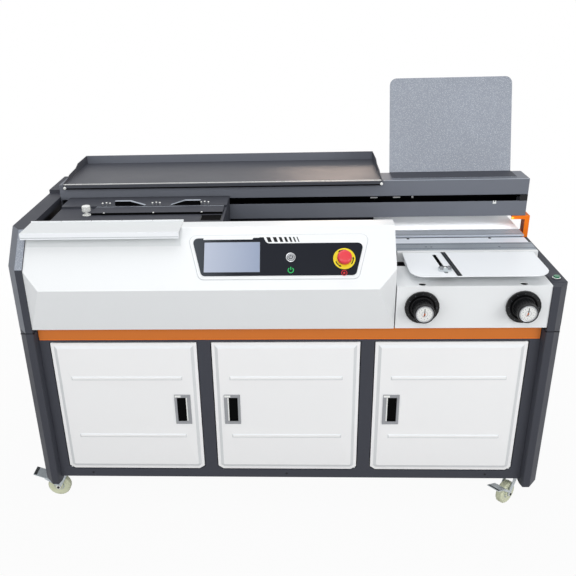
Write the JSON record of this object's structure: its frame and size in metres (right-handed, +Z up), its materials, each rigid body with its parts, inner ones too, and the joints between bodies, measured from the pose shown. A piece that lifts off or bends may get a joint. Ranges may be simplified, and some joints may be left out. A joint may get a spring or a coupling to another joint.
{
  "type": "perfect binding machine",
  "caption": "Free-standing perfect binding machine: white front casing with a touch panel, clamp carriage on a beam, milling, gluing and nipping stations, cabinet on casters.",
  "frame": {"origin": "middle of the footprint's bounding box, on the floor", "axes": "+X to the machine's right as its operator sees it, +Y to its back, +Z up"},
  "size_m": [1.623, 0.7384, 1.2595],
  "materials": {
    "frame_paint": "dark gray textured powder coat",
    "white_paint": "white semi-gloss powder coat",
    "orange_paint": "orange powder coat",
    "beam_paint": "dark gray powder coat",
    "chrome": "polished",
    "zinc": "zinc plated",
    "ground_steel": "ground",
    "black_plastic": "black moulded",
    "panel_film": "dark printed film",
    "screen_glass": "glossy display cover",
    "red_plastic": "red moulded",
    "green_plastic": "green moulded",
    "cream_nylon": "cream moulded tread",
    "cast_iron": "painted casting"
  },
  "bodies": {
    "cabinet": {"side_lower_left": "frame_paint", "side_lower_right": "frame_paint", "side_upper_left": "frame_paint", "side_upper_right": "frame_paint", "front_frame": "frame_paint", "orange_trim": "orange_paint", "cabinet_floor": "frame_paint", "cabinet_back": "frame_paint", "machine_bed": "frame_paint", "mains_inlet": "black_plastic", "front_casing": "white_paint", "control_panel": "panel_film", "touch_screen": "screen_glass", "wing_cover": "white_paint", "knob_base_left": "black_plastic", "knob_base_right": "black_plastic", "beam_cover": "beam_paint", "guide_rail": "ground_steel", "guard_bracket": "orange_paint", "tray": "beam_paint", "backboard": "beam_paint", "nip_base": "cast_iron", "rear_sheet": "white_paint", "rear_cover": "frame_paint", "milling_motor": "cast_iron", "glue_tank": "zinc"},
    "door_left": {"door_left": "white_paint", "door_pull_left": "chrome"},
    "door_middle": {"door_middle": "white_paint", "door_pull_middle": "chrome"},
    "door_right": {"door_right": "white_paint", "door_pull_right": "chrome"},
    "lid": {"front_lid": "white_paint"},
    "stop_button": {"estop_button": "red_plastic"},
    "mains_button": {"power_button": "chrome"},
    "start_key": {"start_button": "green_plastic"},
    "knob_left": {"knob_left": "black_plastic"},
    "knob_right": {"knob_right": "black_plastic"},
    "table": {"cover_table": "white_paint", "guide_strip": "black_plastic"},
    "table_stop": {"side_stop": "zinc"},
    "clamp": {"clamp_carriage": "frame_paint"},
    "jaw": {"clamp_jaw": "frame_paint"},
    "thumb_knob": {"stop_knob": "chrome"},
    "nip_lift": {"nip_carrier": "frame_paint", "spine_plate": "ground_steel"},
    "nip_front": {"nip_plate_front": "ground_steel"},
    "nip_rear": {"nip_plate_rear": "ground_steel"},
    "cutter": {"milling_cutter": "ground_steel"},
    "roller": {"glue_roller": "ground_steel"},
    "fork_front_left": {"caster_fork_front_left": "zinc"},
    "wheel_front_left": {"caster_wheel_front_left": "cream_nylon"},
    "pedal_front_left": {"brake_pedal_front_left": "zinc"},
    "fork_front_right": {"caster_fork_front_right": "zinc"},
    "wheel_front_right": {"caster_wheel_front_right": "cream_nylon"},
    "pedal_front_right": {"brake_pedal_front_right": "zinc"},
    "fork_rear_left": {"caster_fork_rear_left": "zinc"},
    "wheel_rear_left": {"caster_wheel_rear_left": "cream_nylon"},
    "fork_rear_right": {"caster_fork_rear_right": "zinc"},
    "wheel_rear_right": {"caster_wheel_rear_right": "cream_nylon"}
  },
  "joints": [
    {"name": "door_left_hinge", "type": "hinge", "parent": "cabinet", "child": "door_left", "pos_m": [-0.6646, -0.2978, 0.145], "axis": [0, 0, -1], "range_deg": [0, 92]},
    {"name": "door_middle_hinge", "type": "hinge", "parent": "cabinet", "child": "door_middle", "pos_m": [0.2388, -0.2978, 0.145], "axis": [0, 0, 1], "range_deg": [0, 92]},
    {"name": "door_right_hinge", "type": "hinge", "parent": "cabinet", "child": "door_right", "pos_m": [0.7176, -0.2978, 0.145], "axis": [0, 0, 1], "range_deg": [0, 92]},
    {"name": "lid_hinge", "type": "hinge", "parent": "cabinet", "child": "lid", "pos_m": [-0.71, -0.1892, 0.9363], "axis": [-1, 0, 0], "range_deg": [0, 100]},
    {"name": "stop_press", "type": "slide", "parent": "cabinet", "child": "stop_button", "axis": [0, 0.7649, -0.6441], "range_m": [0, 0.005], "stiffness_N_per_m": 800, "springref_m": -0.003},
    {"name": "mains_press", "type": "slide", "parent": "cabinet", "child": "mains_button", "axis": [0, 0.7649, -0.6441], "range_m": [0, 0.002], "stiffness_N_per_m": 500, "springref_m": -0.002},
    {"name": "start_press", "type": "slide", "parent": "cabinet", "child": "start_key", "axis": [0, 0, -1], "range_m": [0, 0.003], "stiffness_N_per_m": 500, "springref_m": -0.002},
    {"name": "table_slide", "type": "slide", "parent": "cabinet", "child": "table", "axis": [0, -1, 0], "range_m": [0, 0.009]},
    {"name": "table_stop_slide", "type": "slide", "parent": "table", "child": "table_stop", "axis": [-0.0663, 0.9978, 0], "range_m": [-0.008, 0.118]},
    {"name": "knob_left_turn", "type": "hinge", "parent": "cabinet", "child": "knob_left", "pos_m": [0.4085, -0.3272, 0.718], "axis": [0, 1, 0], "range_deg": [0, 325]},
    {"name": "knob_right_turn", "type": "hinge", "parent": "cabinet", "child": "knob_right", "pos_m": [0.6865, -0.3272, 0.718], "axis": [0, 1, 0], "range_deg": [0, 325]},
    {"name": "clamp_travel", "type": "slide", "parent": "cabinet", "child": "clamp", "axis": [1, 0, 0], "range_m": [0, 0.93]},
    {"name": "jaw_open", "type": "slide", "parent": "clamp", "child": "jaw", "axis": [0, -1, 0], "range_m": [0, 0.04]},
    {"name": "thumb_knob_turn", "type": "hinge", "parent": "clamp", "child": "thumb_knob", "pos_m": [-0.5755, -0.0848, 0.923], "axis": [0, 0, 1], "range_deg": [-180, 180]},
    {"name": "nip_lift_travel", "type": "slide", "parent": "cabinet", "child": "nip_lift", "axis": [0, 0, 1], "range_m": [0, 0.006]},
    {"name": "nip_front_close", "type": "slide", "parent": "nip_lift", "child": "nip_front", "axis": [0, 1, 0], "range_m": [0, 0.03]},
    {"name": "nip_rear_close", "type": "slide", "parent": "nip_lift", "child": "nip_rear", "axis": [0, -1, 0], "range_m": [0, 0.018]},
    {"name": "cutter_spin", "type": "hinge", "parent": "cabinet", "child": "cutter", "pos_m": [0.0065, -0.0213, 0.792], "axis": [0, 0, 1], "continuous": true},
    {"name": "roller_spin", "type": "hinge", "parent": "cabinet", "child": "roller", "pos_m": [0.2215, -0.0213, 0.775], "axis": [0, 1, 0], "continuous": true},
    {"name": "swivel_front_left", "type": "hinge", "parent": "cabinet", "child": "fork_front_left", "pos_m": [-0.7005, -0.2478, 0.108], "axis": [0, 0, 1], "continuous": true},
    {"name": "spin_front_left", "type": "hinge", "parent": "fork_front_left", "child": "wheel_front_left", "pos_m": [-0.7355, -0.2478, 0.0375], "axis": [0, -1, 0], "continuous": true},
    {"name": "brake_front_left", "type": "hinge", "parent": "fork_front_left", "child": "pedal_front_left", "pos_m": [-0.7355, -0.2478, 0.0375], "axis": [0, -1, 0], "range_deg": [0, 12]},
    {"name": "swivel_front_right", "type": "hinge", "parent": "cabinet", "child": "fork_front_right", "pos_m": [0.7535, -0.2478, 0.108], "axis": [0, 0, 1], "continuous": true},
    {"name": "spin_front_right", "type": "hinge", "parent": "fork_front_right", "child": "wheel_front_right", "pos_m": [0.72749, -0.27122, 0.0375], "axis": [0.6691, -0.7431, 0], "continuous": true},
    {"name": "brake_front_right", "type": "hinge", "parent": "fork_front_right", "child": "pedal_front_right", "pos_m": [0.72749, -0.27122, 0.0375], "axis": [0.6691, -0.7431, 0], "range_deg": [0, 12]},
    {"name": "swivel_rear_left", "type": "hinge", "parent": "cabinet", "child": "fork_rear_left", "pos_m": [-0.7005, 0.2422, 0.108], "axis": [0, 0, 1], "continuous": true},
    {"name": "spin_rear_left", "type": "hinge", "parent": "fork_rear_left", "child": "wheel_rear_left", "pos_m": [-0.70658, 0.27667, 0.0375], "axis": [-0.9848, -0.1736, 0], "continuous": true},
    {"name": "swivel_rear_right", "type": "hinge", "parent": "cabinet", "child": "fork_rear_right", "pos_m": [0.7535, 0.2422, 0.108], "axis": [0, 0, 1], "continuous": true},
    {"name": "spin_rear_right", "type": "hinge", "parent": "fork_rear_right", "child": "wheel_rear_right", "pos_m": [0.76829, 0.27392, 0.0375], "axis": [-0.9063, 0.4226, 0], "continuous": true}
  ],
  "couplings": [
    {"joint": "knob_left_turn", "follows": "table_slide", "rad_per_m": 628.32},
    {"joint": "knob_right_turn", "follows": "nip_rear_close", "rad_per_m": 314.16}
  ]
}
